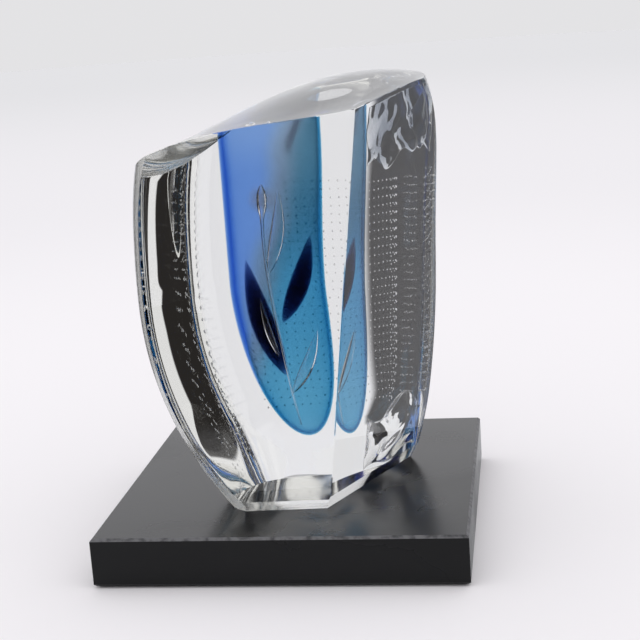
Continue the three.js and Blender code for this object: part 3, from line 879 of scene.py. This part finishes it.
def block_mesh(columns=210, rows=90, rings=22, edge_steps=36):
    """The whole block: its hot wall, two facets, top and foot, and how dull each point is."""
    body, haze = hot_wall(columns, rows)
    bevel_row, crease_row = 3, 4    # the wall's rows at the top of the front and of the right bevel
    points = body.reshape(-1, 3).tolist()
    faces, smooth = [], []

    def at(k, j):
        return k * (columns + 1) + j

    def face(*ids, curved=False):
        clean = [i for n, i in enumerate(ids) if i != ids[n - 1]]
        if len(clean) > 2:
            faces.append(clean)
            smooth.append(curved)

    def add(p):
        points.append([float(v) for v in p])
        return len(points) - 1

    count = body.shape[0]
    for k in range(count - 1):
        for j in range(columns):
            face(at(k, j), at(k, j + 1), at(k + 1, j + 1), at(k + 1, j), curved=True)

    # corners of the two facets where they meet the top
    def on_crease(z):
        return np.array([CREASE_X + CREASE_LEAN * z, FRONT_Y, z])

    z = 200.0
    for _ in range(SETTLING_ROUNDS):
        z = float(top_height(CREASE_X + CREASE_LEAN * z, FRONT_Y))
    crease_top = z

    # front facet
    left_ids = []
    for k in range(bevel_row, count):
        p = body[k, -1].copy()
        p[0] += CHAMFER * 0.8
        p[1] = FRONT_Y
        left_ids.append(add(p))
    left_top = np.array(points[left_ids[-1]])
    right_top = on_crease(crease_top - 1.4 * CHAMFER)
    right_top[0] -= CHAMFER
    front_top = []
    for x in np.linspace(left_top[0], right_top[0], edge_steps)[1:]:
        front_top.append(add([x, FRONT_Y, float(top_height(x, FRONT_Y)) - CHAMFER]))
    crease_low = on_crease(crease_foot)
    front_low = add(crease_low - np.array([CHAMFER, 0, 0]))
    bevel_corner = add([CREASE_X - CHAMFER, FRONT_Y, BEVEL_HEIGHT])
    face(*left_ids, *front_top, front_low, bevel_corner)

    # right facet
    right_ids = []
    for k in range(crease_row, count):
        p = body[k, 0].copy()
        right_ids.append(add(p + np.array([*right_outward, 0]) * CHAMFER - right_along * CHAMFER * 0.8))
    right_first = add(crease_low + right_along * CHAMFER)
    corner = on_crease(crease_top)
    far = np.array(points[right_ids[-1]])
    right_top_ids = []
    for step in np.linspace(CHAMFER, (far - corner) @ right_along, edge_steps)[:-1]:
        x, y = corner[:2] + right_along[:2] * step
        for _ in range(SETTLING_ROUNDS):
            h = float(top_height(x, y))
            base = np.array([CREASE_X, FRONT_Y]) + right_outward * right_lean * h
            foot = np.array([x, y]) - base
            x, y = base + right_along[:2] * (foot @ right_along[:2])
        right_top_ids.append(add([x, y, float(top_height(x, y)) - CHAMFER]))
    face(*right_ids, *reversed(right_top_ids), right_first)

    # chamfers beside the facets
    for n in range(len(left_ids) - 1):
        k = bevel_row + n
        face(at(k, columns), left_ids[n], left_ids[n + 1], at(k + 1, columns))
    for n in range(len(right_ids) - 1):
        k = crease_row + n
        face(at(k, 0), right_ids[n], right_ids[n + 1], at(k + 1, 0))
    face(front_low, right_first, right_top_ids[0], front_top[-1])

    # domed top, on a rim drawn in by the chamfer
    lower = [at(count - 1, j) for j in range(columns + 1)]
    lower += [left_ids[-1]] + front_top + right_top_ids + [right_ids[-1]]
    outer = []
    for i in lower:
        p = np.array(points[i][:2])
        inward = (TOP_MIDDLE - p) / np.linalg.norm(TOP_MIDDLE - p)
        outer.append(p + inward * CHAMFER * 1.1)
    outer = np.array(outer)
    previous = lower
    shares = np.concatenate([[1.0, 0.985], np.linspace(0.95, 0.03, rings)])
    for share in shares:
        ring = []
        for q in outer:
            x, y = TOP_MIDDLE + (q - TOP_MIDDLE) * share
            ring.append(add([x, y, float(top_height(x, y))]))
        for n in range(len(ring)):
            m = (n + 1) % len(ring)
            face(previous[n], previous[m], ring[m], ring[n], curved=share < 1.0)
        previous = ring
    peak = add([*TOP_MIDDLE, float(top_height(*TOP_MIDDLE))])
    for n in range(len(previous)):
        face(previous[n], previous[(n + 1) % len(previous)], peak, curved=True)

    # foot: the two slanted cuts and the flat that stands on the plinth
    inner_corner = np.array([CREASE_X, FRONT_Y]) - right_outward * BEVEL_INSET
    shift = (FRONT_Y + BEVEL_INSET - inner_corner[1]) / right_along[1]
    heel = add([inner_corner[0] + right_along[0] * shift, FRONT_Y + BEVEL_INSET, SOLE_HOLLOW])
    front_side = [at(k, columns) for k in range(bevel_row + 1)]
    face(heel, bevel_corner, left_ids[0], *reversed(front_side))
    right_side = [at(k, 0) for k in range(crease_row + 1)]
    face(heel, *right_side, right_ids[0], right_first, front_low, bevel_corner)
    face(heel, *[at(0, j) for j in range(columns, -1, -1)])
    spots = np.array(points)
    on_top = spots[:, 2] > top_height(spots[:, 0], spots[:, 1]) - CHAMFER / 2
    dull = hazed(spots[:, 0], *TOP_HAZE) * on_top
    dull[:haze.size] = haze.ravel()
    return points, faces, smooth, dull


crystal, start = new_tree("crystal")
upward = start.node("ShaderNodeNewGeometry", output="Normal").split()[2]
haze = start.node("ShaderNodeAttribute", {"attribute_name": "haze"}, output="Fac")
smeared = soiling(start, 16.0, 0.35, 0.7)
surface = start.node("ShaderNodeBsdfPrincipled", {}, {
    "Base Color": colour(1.0, 1.0, 1.0),
    "Roughness": soiling(start, *FINGERMARKS) * DULLED + haze * 0.22,
    "IOR": 1.5,
    "Transmission Weight": 1.0,
    "Coat Weight": upward.rises(0.7, 0.85) * (0.55 + 0.45 * smeared),
    "Coat Roughness": 0.16,
    "Coat IOR": 1.5,
})
warmth = start.node("ShaderNodeVolumeAbsorption", {}, {"Color": colour(0.3, 0.28, 0.0), "Density": 0.7})
finished(start, surface, warmth)
points, faces, smooth, dull = block_mesh()
block = piece_of("crystal_block", points, faces, smooth)
block.data.attributes.new("haze", "FLOAT", "POINT").data.foreach_set("value", dull)
block.data.materials.append(crystal)
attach(block, "glass")
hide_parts("crystal_casing", "clear_gather")

# Plinth
# A square board with chamfered edges, sprayed with satin black lacquer. The glass stands on
# it by its own weight, and nothing else holds it there.
lacquer, start = new_tree("lacquer")
upward = start.node("ShaderNodeNewGeometry", output="Normal").split()[2]
on_top = upward.rises(0.9, 0.99)
# The upward-facing chamfers are painted a lighter grey, broken up by noise: a painted highlight where they
# catch the light. Their roughness is raised as well.
upper_chamfer_highlight = upward.rises(0.3, 0.5) * (1.0 - on_top)
dulled = soiling(start, 14.0, 0.42, 0.72)
place = start.node("ShaderNodeTexCoord", output="Object")
dust = start.node("ShaderNodeTexNoise", {}, {"Vector": place, "Scale": 900.0, "Detail": 1.0}).rises(0.74, 0.8)
highlight_breakup = start.node("ShaderNodeTexNoise", {}, {"Vector": place, "Scale": 260.0, "Detail": 3.0}).rises(0.3, 0.6)
# painted highlight on the upper chamfers
shade = (upper_chamfer_highlight * (0.35 + 0.65 * highlight_breakup)).between(colour(0.006, 0.006, 0.0065), colour(0.15, 0.15, 0.155))
shade = (dust * on_top * 0.12).between(shade, colour(0.22, 0.22, 0.22))
grain = start.node("ShaderNodeTexNoise", {}, {"Vector": place, "Scale": 420.0, "Detail": 2.0})
surface = start.node("ShaderNodeBsdfPrincipled", {}, {
    "Base Color": shade,
    "Roughness": 0.23 + 0.09 * dulled + 0.2 * upper_chamfer_highlight,
    "IOR": 1.3,
    "Coat Weight": 0.42 * on_top,
    "Coat Roughness": 0.2,
    "Coat IOR": 1.5,
    "Normal": start.node("ShaderNodeBump", {}, {"Strength": 0.06, "Distance": 0.0002, "Height": grain}),
})
finished(start, surface)
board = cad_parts["plinth"]
board.data.materials.clear()
board.data.materials.append(lacquer)

# Felt pads
# Four thin discs of black felt, glued under the plinth near its corners, so that the board
# doesn't mark what it stands on.
felt, start = new_tree("felt")
place = start.node("ShaderNodeTexCoord", output="Object")
tangle = {"Vector": place, "Scale": 2600.0, "Detail": 3.0, "Distortion": 2.0}
fibres = start.node("ShaderNodeTexNoise", {}, tangle)
surface = start.node("ShaderNodeBsdfPrincipled", {}, {
    "Base Color": fibres.rises(0.3, 0.7).between(colour(0.012, 0.012, 0.013), colour(0.045, 0.045, 0.048)),
    "Roughness": 0.95,
    "Normal": start.node("ShaderNodeBump", {}, {"Strength": 0.6, "Distance": 0.0004, "Height": fibres}),
})
finished(start, surface)
for name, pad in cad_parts.items():
    if name.startswith("felt_pad"):
        pad.data.materials.clear()
        pad.data.materials.append(felt)
